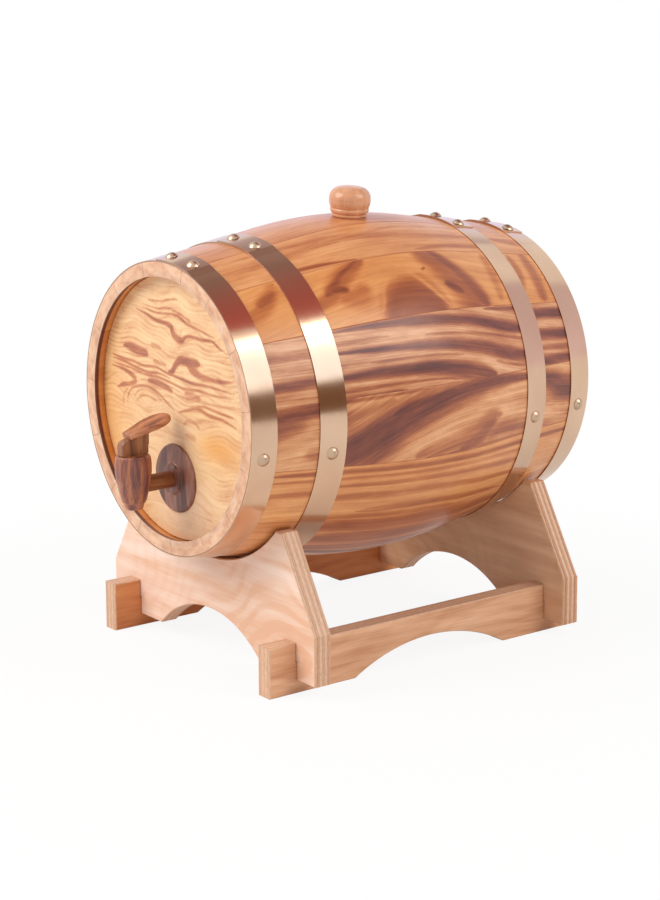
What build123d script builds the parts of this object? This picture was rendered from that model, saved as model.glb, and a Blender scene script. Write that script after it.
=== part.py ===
from build123d import *
import os
from math import asin, copysign, cos, degrees, radians, sin, sqrt, tan

# A small oak cask for spirits, lying in a plywood cradle, with a turned wooden tap in its front head.
# Millimetres. +Z is up, -Y is the front, where the tap is. The origin is on the floor, under the
# middle of the whole object.

# ---- cask ----
cask_length = 265.0
chime_diameter = 179.0        # outside of the staves at both ends
stave_taper = 9.35            # degrees, of the straight ends
bend_length = 96.0            # curved middle of a stave
belly_height = 53.85          # lowest stave above the floor
stave_count = 15
stave_thickness = 9.0
stave_turn = 2.5              # degrees from the crown to the middle of the even pattern's top stave
bung_stave_extra = 4.0        # degrees of width the bung stave has over its even share

# ---- heads ----
head_recess = 7.5             # from the end of the staves to the face of the head
head_thickness = 9.0
head_rim_gap = 0.4            # round the face of a head, inside the chime
croze_width = 5.0
croze_depth = 3.5
croze_gap = 0.2               # left at the bottom of the groove

# ---- hoops, rivets and nails ----
hoop_width = 17.5
front_hoop_width = 16.3       # of the chime hoop at the front
hoop_thickness = 0.8
chime_hoop_front_inset = 0.1  # from the front end of the staves to the edge of the chime hoop
chime_hoop_rear_inset = 1.0
bilge_hoop_inset = 44.0       # from either end of the staves to the edge of the bilge hoop
lap_angle = 84.0              # middle of the riveted lap, from +X up towards +Z
lap_length = 33.0             # along the hoop
lap_ramp = 7.0                # where the upper end of the strip comes down beside the lap
rivet_spacing = 22.5
fastener_head_diameter = 8.0
fastener_head_height = 2.4
fastener_shank_diameter = 2.4
nail_depth = 5.0              # into the stave
nail_angle = 9.8              # below the level of the axis, on both sides
edge_break = 0.6              # small chamfer on turned pieces

# ---- bung ----
bung_offset = 2.5             # behind the middle of the cask
bung_lean = 4.0               # degrees from the crown towards +X
bung_hole_diameter = 20.0     # at the outside of the stave
bung_taper = 3.0              # degrees on each side
bung_plug_length = 22.0
bung_grip_diameter = 26.2
bung_grip_height = 19.0
bung_step = 1.3               # the base is wider than the hole by this, all round
bung_fit = 0.05               # radial, in the hole
bung_seat_gap = 0.3           # under the grip

# ---- tap ----
tap_drop = 43.7               # shank axis below the cask axis
tap_reach = 23.5              # vertical tap axis in front of the end of the staves
shank_diameter = 10.4
shank_bore = 5.0
shank_seat_diameter = 15.0    # of the taper, at the face of the head
shank_taper = 2.5             # degrees on each side
shank_inside = 12.0           # end of the taper behind the head
rosette_diameter = 42.6
rosette_thickness = 2.0
rosette_hub_diameter = 19.0
rosette_hub_height = 4.8
tap_body_diameter = 22.2
tap_rim_diameter = 20.8
tap_waist_diameter = 15.0     # above the spout tip
tap_tip_diameter = 11.0
tap_body_top = 19.0           # above the shank axis
tap_body_bottom = 14.2        # below the shank axis
tap_tip_height = 3.6
tap_tip_flare = 0.9           # radial, from the mouth of the spout up to the step
spout_bore = 7.0
plug_foot_gap = 0.5           # under the plug
socket_wall = 1.2             # between the plug and the end of the shank
plug_bottom = 6.2             # below the shank axis
plug_top_diameter = 14.0      # at the rim of the tap body
plug_foot_diameter = 10.0     # at the bottom of the plug
plug_fit = 0.05               # radial, in the tap body
key_rim_gap = 0.3             # between the rim of the tap body and the key
key_head_diameter = 19.2
key_head_height = 10.0
key_flat_thickness = 6.0
key_dome_edge = 4.4           # rounding of the top edge of the head
key_neck_length = 9.2         # towards the back, under the lever
lever_length = 31.0
lever_width = 18.0
lever_front_width = 10.0
lever_thickness = 3.6
lever_rise = 16.5             # degrees
lever_height = 30.4           # underside above the shank axis, at the tap axis
lever_overhang = 3.6          # in front of the tap axis
lever_edge_radius = 1.3

# ---- stand ----
ply_thickness = 12.0
cradle_gap = 0.3              # between the cask and the cradle
panel_hoop_gap = 2.0          # between the front panel and the bilge hoop behind it
panel_rear_inset = 25.5       # from the rear end of the staves to the face of the rear panel
panel_width = 218.5
panel_foot_height = 8.0       # bottom edge above the floor
panel_shoulder_height = 39.0  # where the upright side edge ends
panel_top_drop = 66.0         # top edge below the cask axis
panel_top_lip = 6.2           # flat top beside the cradle
panel_arch_width = 110.0
panel_arch_height = 30.8
rail_outer_width = 182.0      # over both rails
rail_height = 31.0
rail_front_inset = 10.5       # from the front end of the staves
rail_rear_inset = 7.5         # from the rear end of the staves
rail_arch_width = 119.0
rail_arch_height = 15.8
lap_joint_gap = 0.15          # on each side of a panel or rail in the cross lap
ply_edge_chamfer = 0.6

# ---- worked out from the sizes above ----
chime_radius = chime_diameter / 2
end_slope = radians(stave_taper)
bend_start = (cask_length - bend_length) / 2
bilge_radius = chime_radius + bend_start * tan(end_slope) + bend_length / 2 * tan(end_slope / 2)
stave_bend = bend_length / 2 / sin(end_slope)
axis_height = bilge_radius + belly_height
shank_height = axis_height - tap_drop
tap_front = tap_reach + tap_body_diameter / 2
front_end = (tap_front - cask_length) / 2      # Y of the front end of the staves
tap_y = front_end - tap_reach
stave_angle = 360 / stave_count
cask_axis = Axis((0, 0, axis_height), (0, 1, 0))

os.makedirs("parts", exist_ok=True)


def save(piece, name):
    """Label a finished piece and write it to its own file."""
    piece.label = name
    export_step(piece, f"parts/{name}.step")


def cask_radius(place, depth=0.0):
    """Radius of the cask, depth below its surface, at a distance behind the front end."""
    from_end = min(place, cask_length - place)
    if from_end < bend_start:
        return chime_radius - depth + from_end * tan(end_slope)
    return bilge_radius - depth - stave_bend + sqrt(stave_bend**2 - (place - cask_length / 2) ** 2)


def radial_plane(angle):
    """Half plane of the cask: X runs back from the front end, Y out from the axis at this angle."""
    return Plane(
        origin=(0, front_end, axis_height),
        x_dir=(0, 1, 0),
        z_dir=(sin(radians(angle)), 0, -cos(radians(angle))),
    )


def surface_plane(place, angle, height):
    """Plane along the surface of a straight end of the cask at this place and angle, over it by a height."""
    outward = Vector(cos(radians(angle)), 0, sin(radians(angle)))
    lean = copysign(end_slope, place - cask_length / 2)
    normal = outward * cos(lean) + Vector(0, sin(lean), 0)
    foot = Vector(0, front_end + place, axis_height) + outward * cask_radius(place)
    return Plane(origin=foot + normal * height, z_dir=normal)


def cap(edge, foot, top):
    """Centre, radius, start and size of the arc from (edge, foot) up to (0, top), for a round cap."""
    radius = (edge**2 + (top - foot) ** 2) / (2 * (top - foot))
    start = degrees(asin((foot - top + radius) / radius))
    return (0, top - radius), radius, start, 90 - start


def band_corners(start, width, inner, outer):
    """Section of a straight band that lies on the cask, between two heights over its surface."""
    foot, top = [(place, cask_radius(place)) for place in (start, start + width)]
    return [(place, radius + height) for (place, radius), height in (
        (foot, inner), (foot, outer), (top, outer), (top, inner))]


# ---- staves ----
head_place = {"front": head_recess, "rear": cask_length - head_recess - head_thickness}
croze_radius = cask_radius(head_recess, stave_thickness) + croze_depth

with BuildSketch(Plane.XY) as stave_section:
    with BuildLine():
        for depth in (0, stave_thickness):
            front, bend_front, middle, bend_rear, rear = [
                (place, cask_radius(place, depth))
                for place in (0, bend_start, cask_length / 2, cask_length - bend_start, cask_length)
            ]
            Line(front, bend_front)
            ThreePointArc(bend_front, middle, bend_rear)
            Line(bend_rear, rear)
        for place in (0, cask_length):
            Line((place, cask_radius(place)), (place, cask_radius(place, stave_thickness)))
    make_face()
    with Locations(*[(place + head_thickness / 2, croze_radius) for place in head_place.values()]):
        Rectangle(croze_width, 2 * croze_depth, mode=Mode.SUBTRACT, align=(Align.CENTER, Align.MAX))

hoop_bands = {
    "chime_hoop_front": (chime_hoop_front_inset, front_hoop_width),
    "bilge_hoop_front": (bilge_hoop_inset, hoop_width),
    "bilge_hoop_rear": (cask_length - bilge_hoop_inset - hoop_width, hoop_width),
    "chime_hoop_rear": (cask_length - chime_hoop_rear_inset - hoop_width, hoop_width),
}
hoop_middles = [start + width / 2 for start, width in hoop_bands.values()]
nail_angles = (-nail_angle, 180 + nail_angle)
bung_place = cask_length / 2 + bung_offset
bung_outward = Vector(sin(radians(bung_lean)), 0, cos(radians(bung_lean)))
bung_foot = Vector(0, front_end + bung_place, axis_height) + bung_outward * cask_radius(bung_place)
bung_plane = Plane(origin=bung_foot, x_dir=(bung_outward.Z, 0, -bung_outward.X), z_dir=(0, -1, 0))
bung_axis = Axis(bung_foot, bung_outward)
joint_angles = [90 + stave_turn + (0.5 - number) * stave_angle for number in range(stave_count + 1)]
joint_angles[1] -= bung_stave_extra


def bung_taper_radius(height, clearance=0.0):
    """Radius of the bung hole, less a clearance, at a height over the surface of the cask."""
    return bung_hole_diameter / 2 + height * tan(radians(bung_taper)) - clearance


for number in range(stave_count):
    upper_joint, lower_joint = joint_angles[number:number + 2]
    with BuildPart() as stave:
        with BuildSketch(radial_plane(upper_joint)):
            add(stave_section.sketch)
        revolve(axis=cask_axis, revolution_arc=upper_joint - lower_joint)
        for angle in nail_angles:
            if (upper_joint - angle) % 360 < upper_joint - lower_joint:
                for place in hoop_middles:
                    with BuildSketch(surface_plane(place, angle, -nail_depth)):
                        Circle(fastener_shank_diameter / 2)
                    extrude(amount=2 * nail_depth, mode=Mode.SUBTRACT)
        if number == 0:
            hole_top, hole_foot = stave_thickness, -2 * stave_thickness
            with BuildSketch(bung_plane):
                Polygon(
                    (0, hole_foot),
                    (bung_taper_radius(hole_foot), hole_foot),
                    (bung_taper_radius(hole_top), hole_top),
                    (0, hole_top),
                    align=None,
                )
            revolve(axis=bung_axis, mode=Mode.SUBTRACT)
    save(stave.part, "bung_stave" if number == 0 else f"stave_{number + 1:02d}")

# ---- heads: round boards with a thinner rim that sits in the croze ----
shank_plane = Plane(origin=(0, front_end, shank_height), x_dir=(0, 1, 0), z_dir=(1, 0, 0))
shank_axis = Axis(shank_plane.origin, (0, 1, 0))
shank_end = head_recess + head_thickness + shank_inside
shank_end_radius = shank_seat_diameter / 2 - (shank_end - head_recess) * tan(radians(shank_taper))

for side, place in head_place.items():
    with BuildPart() as head:
        with BuildSketch(radial_plane(90)):
            face_radius = cask_radius(head_recess, stave_thickness) - head_rim_gap
            with Locations((place, 0)):
                Rectangle(head_thickness, face_radius, align=Align.MIN)
            with Locations((place + (head_thickness - croze_width) / 2, 0)):
                Rectangle(croze_width, croze_radius - croze_gap, align=Align.MIN)
        revolve(axis=cask_axis)
        if side == "front":
            with BuildSketch(shank_plane):
                Polygon(
                    (head_recess, 0),
                    (head_recess, shank_seat_diameter / 2),
                    (shank_end, shank_end_radius),
                    (shank_end, 0),
                    align=None,
                )
            revolve(axis=shank_axis, mode=Mode.SUBTRACT)
    save(head.part, f"head_{side}")

# ---- hoops: brass strip, its ends lapped and riveted near the crown ----
# The upper end of the strip stops square on one side of the lap and comes down in a ramp on the other.
# It stops on the left of the front hoops and on the right of the rear hoops.
rivet_places = []
nail_places = []
for name, (start, width) in hoop_bands.items():
    middle = start + width / 2
    radius = cask_radius(middle)
    lap_half_angle = degrees(lap_length / 2 / radius)
    ramp_side = copysign(1, middle - cask_length / 2)
    ramp_top = lap_angle + ramp_side * lap_half_angle
    ramp_foot = ramp_top + ramp_side * degrees(lap_ramp / radius)
    rivet_half_angle = degrees(rivet_spacing / 2 / radius)
    rivet_angles = (lap_angle - rivet_half_angle, lap_angle + rivet_half_angle)
    rivet_places += [surface_plane(middle, angle, 2 * hoop_thickness) for angle in rivet_angles]
    nail_places += [surface_plane(middle, angle, hoop_thickness) for angle in nail_angles]
    with BuildPart() as hoop:
        with BuildSketch(radial_plane(90)):
            Polygon(*band_corners(start, width, 0, hoop_thickness), align=None)
        revolve(axis=cask_axis)
        with BuildSketch(radial_plane(lap_angle + lap_half_angle)):
            Polygon(*band_corners(start, width, hoop_thickness / 2, 2 * hoop_thickness), align=None)
        revolve(axis=cask_axis, revolution_arc=2 * lap_half_angle)
        for angle, top in ((ramp_top, 2 * hoop_thickness), (ramp_foot, hoop_thickness)):
            with BuildSketch(radial_plane(angle)):
                Polygon(*band_corners(start, width, hoop_thickness / 2, top), align=None)
        loft()
        for angle in rivet_angles + nail_angles:
            with BuildSketch(surface_plane(middle, angle, -hoop_thickness)):
                Circle(fastener_shank_diameter / 2)
            extrude(amount=4 * hoop_thickness, mode=Mode.SUBTRACT)
    save(hoop.part, name)

for name, shank_length, places in (
    ("hoop_rivets", 2 * hoop_thickness, rivet_places),
    ("hoop_nails", hoop_thickness + nail_depth, nail_places),
):
    with BuildPart() as fastener:
        with BuildSketch(Plane.XZ):
            with BuildLine():
                dome = CenterArc(*cap(fastener_head_diameter / 2, 0, fastener_head_height))
                Polyline(
                    dome @ 1,
                    (0, -shank_length),
                    (fastener_shank_diameter / 2, -shank_length),
                    (fastener_shank_diameter / 2, 0),
                    dome @ 0,
                )
            make_face()
        revolve(axis=Axis.Z)
    with BuildPart() as group:
        with Locations(*[plane.location for plane in places]):
            add(fastener.part)
    save(group.part, name)

# ---- bung: turned, with a taper that seals in the hole of the top stave ----
grip_radius = bung_grip_diameter / 2
base_radius = bung_hole_diameter / 2 + bung_step
plug_foot = -bung_plug_length
dome_edge = 0.62 * grip_radius
dome_foot = 0.955 * bung_grip_height
with BuildPart() as bung:
    with BuildSketch(bung_plane):
        with BuildLine():
            foot = Polyline(
                (0, plug_foot),
                (bung_taper_radius(plug_foot, bung_fit) - edge_break, plug_foot),
                (bung_taper_radius(plug_foot + edge_break, bung_fit), plug_foot + edge_break),
                (bung_taper_radius(bung_seat_gap, bung_fit), bung_seat_gap),
                (base_radius - edge_break, bung_seat_gap),
                (base_radius, bung_seat_gap + edge_break),
                (base_radius, 0.09 * bung_grip_height),
                (base_radius - edge_break, 0.12 * bung_grip_height),
            )
            bead = ThreePointArc(
                foot @ 1,
                (base_radius + 1.5 * edge_break, 0.2 * bung_grip_height),
                (base_radius + edge_break, 0.29 * bung_grip_height),
            )
            flare = ThreePointArc(
                bead @ 1,
                (grip_radius - 0.4 * edge_break, 0.41 * bung_grip_height),
                (grip_radius, 0.56 * bung_grip_height),
            )
            shoulder = ThreePointArc(
                flare @ 1,
                (0.885 * grip_radius, 0.83 * bung_grip_height),
                (dome_edge, dome_foot),
            )
            dome = CenterArc(*cap(dome_edge, dome_foot, bung_grip_height))
            Line(dome @ 1, foot @ 0)
        make_face()
    revolve(axis=bung_axis)
save(bung.part, "bung")

# ---- tap: shank, rosette and body stay with the cask; plug and lever turn ----
shank_radius = shank_diameter / 2
rim_radius = tap_rim_diameter / 2
body_radius = tap_body_diameter / 2
waist_radius = tap_waist_diameter / 2
tip_radius = tap_tip_diameter / 2
tap_plane = Plane(origin=(0, tap_y, shank_height), x_dir=(1, 0, 0), z_dir=(0, -1, 0))
tap_axis = Axis(tap_plane.origin, (0, 0, 1))
plug_slope = (plug_top_diameter - plug_foot_diameter) / 2 / (tap_body_top + plug_bottom)


def plug_radius(height, clearance=0.0):
    """Radius of the plug, plus a clearance, at a height over the shank axis."""
    return plug_foot_diameter / 2 + (height + plug_bottom) * plug_slope + clearance


shank_start = socket_wall + plug_radius(0, plug_fit)     # from the tap axis

with BuildPart() as tap_body:
    with BuildSketch(tap_plane):
        with BuildLine():
            tip = Polyline(
                (0, -tap_body_bottom),
                (tip_radius - edge_break, -tap_body_bottom),
                (tip_radius, edge_break - tap_body_bottom),
                (tip_radius + tap_tip_flare, tap_tip_height - tap_body_bottom),
                (waist_radius, tap_tip_height + 2 * edge_break - tap_body_bottom),
            )
            flank = ThreePointArc(
                tip @ 1,
                (waist_radius + 0.62 * (body_radius - waist_radius), 0.01 * tap_body_top),
                (body_radius, 0.47 * tap_body_top),
            )
            wall = Line(flank @ 1, (body_radius, 0.63 * tap_body_top))
            cup = ThreePointArc(
                wall @ 1,
                (body_radius - 0.3 * (body_radius - rim_radius), 0.84 * tap_body_top),
                (rim_radius, tap_body_top - edge_break),
            )
            Polyline(cup @ 1, (rim_radius - edge_break, tap_body_top), (0, tap_body_top), tip @ 0)
        make_face()
    revolve(axis=tap_axis)
    with BuildSketch(tap_plane):
        socket_floor = -plug_bottom - plug_foot_gap
        Polygon(
            (0, socket_floor),
            (plug_radius(socket_floor, plug_fit), socket_floor),
            (plug_radius(tap_body_top, plug_fit), tap_body_top),
            (0, tap_body_top),
            align=None,
        )
        with Locations((0, -tap_body_bottom)):
            Rectangle(spout_bore / 2, tap_body_bottom, align=Align.MIN)
    revolve(axis=tap_axis, mode=Mode.SUBTRACT)
    with BuildSketch(Plane(origin=(0, tap_y + shank_start, shank_height), z_dir=(0, 1, 0))):
        Circle(shank_radius)
    extrude(amount=body_radius, mode=Mode.SUBTRACT)
    with BuildSketch(Plane(origin=(0, tap_y, shank_height), z_dir=(0, 1, 0))):
        Circle(shank_bore / 2)
    extrude(amount=body_radius, mode=Mode.SUBTRACT)
save(tap_body.part, "tap_body")

with BuildPart() as tap_shank:
    with BuildSketch(shank_plane):
        Polygon(
            (shank_start - tap_reach, shank_bore / 2),
            (shank_start - tap_reach, shank_radius),
            (head_recess, shank_radius),
            (head_recess, shank_seat_diameter / 2),
            (shank_end, shank_end_radius),
            (shank_end, shank_bore / 2),
            align=None,
        )
    revolve(axis=shank_axis)
save(tap_shank.part, "tap_shank")

with BuildPart() as tap_rosette:
    with BuildSketch(shank_plane):
        with BuildLine():
            outer_radius = rosette_diameter / 2
            hub_radius = rosette_hub_diameter / 2
            rim_front = head_recess - rosette_thickness
            hub_front = head_recess - rosette_hub_height
            back = Line((head_recess, shank_radius), (head_recess, outer_radius))
            edge = ThreePointArc(
                back @ 1,
                (head_recess - 0.62 * rosette_thickness, outer_radius - 0.15 * rosette_thickness),
                (rim_front, outer_radius - 0.7 * rosette_thickness),
            )
            cove_front = rim_front - (rosette_hub_height - rosette_thickness) / 3
            face = Line(edge @ 1, (rim_front - edge_break, hub_radius + rosette_thickness))
            cove = ThreePointArc(
                face @ 1,
                (cove_front, hub_radius + edge_break),
                (hub_front + 2 * edge_break, hub_radius),
            )
            nose = ThreePointArc(
                cove @ 1,
                (hub_front + 0.5 * edge_break, hub_radius - 0.5 * edge_break),
                (hub_front, hub_radius - 2 * edge_break),
            )
            Polyline(nose @ 1, (hub_front, shank_radius), back @ 0)
        make_face()
    revolve(axis=shank_axis)
save(tap_rosette.part, "tap_rosette")

lever_slope = radians(lever_rise)
lever_plane = Plane(
    origin=(0, tap_y, shank_height + lever_height),
    x_dir=(0, cos(lever_slope), sin(lever_slope)),
    z_dir=(0, -sin(lever_slope), cos(lever_slope)),
)
key_underside = tap_body_top + key_rim_gap
key_head_radius = key_head_diameter / 2
key_shoulder = key_underside + key_head_height
with BuildPart() as tap_plug:
    with BuildSketch(tap_plane):
        with BuildLine():
            taper = Polyline(
                (0, -plug_bottom),
                (plug_radius(-plug_bottom), -plug_bottom),
                (plug_radius(key_underside), key_underside),
                (key_head_radius - edge_break, key_underside),
                (key_head_radius, key_underside + edge_break),
                (key_head_radius, key_shoulder - key_dome_edge),
            )
            dome = ThreePointArc(
                taper @ 1,
                (key_head_radius - 0.3 * key_dome_edge, key_shoulder - 0.3 * key_dome_edge),
                (key_head_radius - key_dome_edge, key_shoulder),
            )
            Polyline(dome @ 1, (0, key_shoulder), taper @ 0)
        make_face()
    revolve(axis=tap_axis)
    with BuildSketch(Plane(origin=(0, tap_y, shank_height + key_shoulder - key_dome_edge))):
        with Locations((0, key_head_radius)):
            Rectangle(key_flat_thickness, key_neck_length, align=(Align.CENTER, Align.MAX))
    extrude(amount=key_head_height)
    split(bisect_by=lever_plane, keep=Keep.BOTTOM)
    with BuildSketch(Plane(origin=(0, tap_y, shank_height + key_underside))):
        with Locations((key_flat_thickness / 2, 0), (-key_flat_thickness / 2 - key_head_radius, 0)):
            Rectangle(key_head_radius, key_head_diameter, align=(Align.MIN, Align.CENTER))
    extrude(amount=2 * key_head_height, mode=Mode.SUBTRACT)
    with BuildSketch(Plane(origin=(0, tap_y, shank_height - plug_bottom))):
        Circle(shank_bore / 2)
    extrude(amount=plug_bottom + shank_bore / 2, mode=Mode.SUBTRACT)
    with BuildSketch(Plane(origin=(0, tap_y, shank_height), z_dir=(-1, 0, 0))):
        Circle(shank_bore / 2)
    extrude(amount=body_radius, mode=Mode.SUBTRACT)
save(tap_plug.part, "tap_plug")

with BuildPart() as tap_lever:
    with BuildSketch(lever_plane):
        with BuildLine():
            lever_end = lever_length - lever_overhang
            side = Spline(
                (-lever_overhang, lever_front_width / 2),
                (lever_end - 0.62 * lever_length, lever_width * 0.43),
                (lever_end - 0.32 * lever_length, lever_width / 2),
                (lever_end - 0.06 * lever_length, lever_width * 0.30),
                (lever_end, 0),
                tangents=((1, 0.25), (0, -1)),
            )
            mirror(side, about=Plane.XZ)
            Line((-lever_overhang, lever_front_width / 2), (-lever_overhang, -lever_front_width / 2))
        make_face()
    extrude(amount=lever_thickness)
    fillet(tap_lever.edges().filter_by(GeomType.BSPLINE), lever_edge_radius)
save(tap_lever.part, "tap_lever")

# ---- stand: two cradle panels across, two rails along, cross-lapped ----
rail_middle = (rail_outer_width - ply_thickness) / 2
lap_height = (rail_height + panel_foot_height) / 2
slot_width = ply_thickness + 2 * lap_joint_gap


def arch_radius(width, rise):
    """Radius of the arc that spans this width with this rise."""
    return (width**2 / 4 + rise**2) / (2 * rise)


front_contact = bilge_hoop_inset - panel_hoop_gap     # the cask touches the inner edge of a cradle
panel_places = (front_contact - ply_thickness, cask_length - panel_rear_inset - ply_thickness)
rear_contact = panel_places[1]
panel_top_height = axis_height - panel_top_drop
cradle_half_width = sqrt((cask_radius(front_contact) + cradle_gap) ** 2 - panel_top_drop**2)
panel_top_width = 2 * (cradle_half_width + panel_top_lip)

for name, place, contact_place in (
    ("cradle_panel_front", panel_places[0], front_contact),
    ("cradle_panel_rear", panel_places[1], rear_contact),
):
    with BuildPart() as panel:
        with BuildSketch(Plane(origin=(0, front_end + place, 0), x_dir=(1, 0, 0), z_dir=(0, -1, 0))):
            Polygon(
                (-panel_width / 2, panel_foot_height),
                (panel_width / 2, panel_foot_height),
                (panel_width / 2, panel_shoulder_height),
                (panel_top_width / 2, panel_top_height),
                (-panel_top_width / 2, panel_top_height),
                (-panel_width / 2, panel_shoulder_height),
                align=None,
            )
            with Locations((0, axis_height)):
                Circle(cask_radius(contact_place) + cradle_gap, mode=Mode.SUBTRACT)
            radius = arch_radius(panel_arch_width, panel_arch_height - panel_foot_height)
            with Locations((0, panel_arch_height - radius)):
                Circle(radius, mode=Mode.SUBTRACT)
            with Locations((-rail_middle, lap_height), (rail_middle, lap_height)):
                Rectangle(slot_width, rail_height, align=(Align.CENTER, Align.MAX), mode=Mode.SUBTRACT)
        extrude(amount=-ply_thickness)
        chamfer(panel.faces().filter_by(Axis.Y).edges(), ply_edge_chamfer)
    save(panel.part, name)

rail_length = cask_length - rail_front_inset - rail_rear_inset
for name, middle in (("rail_left", -rail_middle), ("rail_right", rail_middle)):
    face = Plane(origin=(middle - ply_thickness / 2, front_end, 0), x_dir=(0, 1, 0), z_dir=(1, 0, 0))
    with BuildPart() as rail:
        with BuildSketch(face):
            with Locations((rail_front_inset, 0)):
                Rectangle(rail_length, rail_height, align=Align.MIN)
            radius = arch_radius(rail_arch_width, rail_arch_height)
            with Locations((rail_front_inset + rail_length / 2, rail_arch_height - radius)):
                Circle(radius, mode=Mode.SUBTRACT)
            with Locations(*[(place + ply_thickness / 2, lap_height) for place in panel_places]):
                Rectangle(slot_width, rail_height, align=(Align.CENTER, Align.MIN), mode=Mode.SUBTRACT)
        extrude(amount=ply_thickness)
        chamfer(rail.faces().filter_by(Axis.X).edges(), ply_edge_chamfer)
    save(rail.part, name)
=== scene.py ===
from math import cos, pi, radians, sin, tan

import bpy
import numpy as np
from mathutils import Matrix, Vector


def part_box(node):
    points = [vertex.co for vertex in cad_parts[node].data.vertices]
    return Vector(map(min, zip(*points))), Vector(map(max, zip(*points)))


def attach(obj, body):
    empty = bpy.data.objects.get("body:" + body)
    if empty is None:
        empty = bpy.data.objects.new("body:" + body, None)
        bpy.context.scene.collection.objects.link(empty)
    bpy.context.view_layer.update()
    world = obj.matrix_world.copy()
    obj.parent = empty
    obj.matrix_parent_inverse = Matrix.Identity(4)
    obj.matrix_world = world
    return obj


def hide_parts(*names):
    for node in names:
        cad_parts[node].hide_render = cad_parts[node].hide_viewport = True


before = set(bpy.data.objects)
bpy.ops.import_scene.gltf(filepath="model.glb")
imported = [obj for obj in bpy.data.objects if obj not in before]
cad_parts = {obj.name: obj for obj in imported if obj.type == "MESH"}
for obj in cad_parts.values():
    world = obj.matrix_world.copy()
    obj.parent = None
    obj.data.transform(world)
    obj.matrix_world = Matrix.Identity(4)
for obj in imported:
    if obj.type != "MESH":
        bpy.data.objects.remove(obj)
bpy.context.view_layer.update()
scene = bpy.context.scene
scene.view_settings.view_transform = "Standard"

# ---- camera ----
# A long lens a metre and a half away, a little above the cask and well round to its right, so that
# the tapped head and the whole right side show. The frame is 660 by 900 pixels.
picture_width, picture_height = 660, 900
focal_pixels = 2340.26
centre_pixel = (334.92, 382.91)
sensor_mm = 36.0
camera_azimuth = radians(52.67)
camera_elevation = radians(11.64)
camera_roll = radians(-0.25)
camera_distance = 1.48847
look_at = Vector((0.0, 0.01375, 0.16104))


def direction(azimuth, elevation):
    """Unit vector to an azimuth, counted from the front, -Y, towards the right, +X, and an elevation."""
    return Vector((sin(azimuth) * cos(elevation), -cos(azimuth) * cos(elevation), sin(elevation)))


back = direction(camera_azimuth, camera_elevation)
level = Vector((cos(camera_azimuth), sin(camera_azimuth), 0.0))
upward = back.cross(level)
right = cos(camera_roll) * level + sin(camera_roll) * upward
top = -sin(camera_roll) * level + cos(camera_roll) * upward
camera_data = bpy.data.cameras.new("studio_camera")
camera_data.sensor_fit = "VERTICAL"
camera_data.sensor_height = sensor_mm
camera_data.lens = focal_pixels / picture_height * sensor_mm
camera_data.shift_x = (picture_width / 2 - centre_pixel[0]) / picture_height
camera_data.shift_y = (centre_pixel[1] - picture_height / 2) / picture_height
camera_data.clip_end = 50
camera = bpy.data.objects.new("studio_camera", camera_data)
turned = Matrix((right, top, back)).transposed().to_4x4()
camera.matrix_world = Matrix.Translation(look_at + back * camera_distance) @ turned
scene.collection.objects.link(camera)
scene.camera = camera


# ---- studio ----
# The cask stands on a white sweep of paper in a white room, with a wide soft lamp in front on the left
# and a smaller one behind on the right. Six cards that only reflections see give the brass its bright
# and dark bands and the varnish its sheen.
def srgb(colour):
    """Linear red, green, blue and alpha of an sRGB hex colour: each channel by the sRGB curve."""
    channels = [int(colour[i:i + 2], 16) / 255 for i in (1, 3, 5)]
    return [c / 12.92 if c <= 0.04045 else ((c + 0.055) / 1.055) ** 2.4 for c in channels] + [1.0]


def add(tree, kind, inputs={}, stops=(), **settings):
    """Add one node. Inputs are values or other nodes' outputs by socket, and stops are a colour
    ramp's places and sRGB colours."""
    made = tree.nodes.new(kind)
    for name, value in settings.items():
        setattr(made, name, value)
    for name, value in inputs.items():
        if isinstance(value, bpy.types.NodeSocket):
            tree.links.new(value, made.inputs[name])
        else:
            made.inputs[name].default_value = value
    for number, (place, colour) in enumerate(stops):
        elements = made.color_ramp.elements
        stop = elements[number] if number < 2 else elements.new(place)
        stop.position, stop.color = place, srgb(colour)
    return made


def new_material(name):
    """An empty node material and its tree."""
    made = bpy.data.materials.new(name)
    made.use_nodes = True
    made.node_tree.nodes.clear()
    return made, made.node_tree


def aimed(middle, outward):
    """Placement round a middle with the thing's own +Z along a direction."""
    return Matrix.Translation(middle) @ Vector(outward).to_track_quat("Z", "Y").to_matrix().to_4x4()


def flat_card(name, middle, facing, width, height):
    """A rectangle of card round its middle, square to a direction."""
    corners = np.array([(-1, -1, 0), (1, -1, 0), (1, 1, 0), (-1, 1, 0)]) * (width / 2, height / 2, 0)
    mesh = bpy.data.meshes.new(name)
    mesh.from_pydata(corners.tolist(), [], [(0, 1, 2, 3)])
    card = bpy.data.objects.new(name, mesh)
    card.matrix_world = aimed(middle, facing)
    scene.collection.objects.link(card)
    return card


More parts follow.
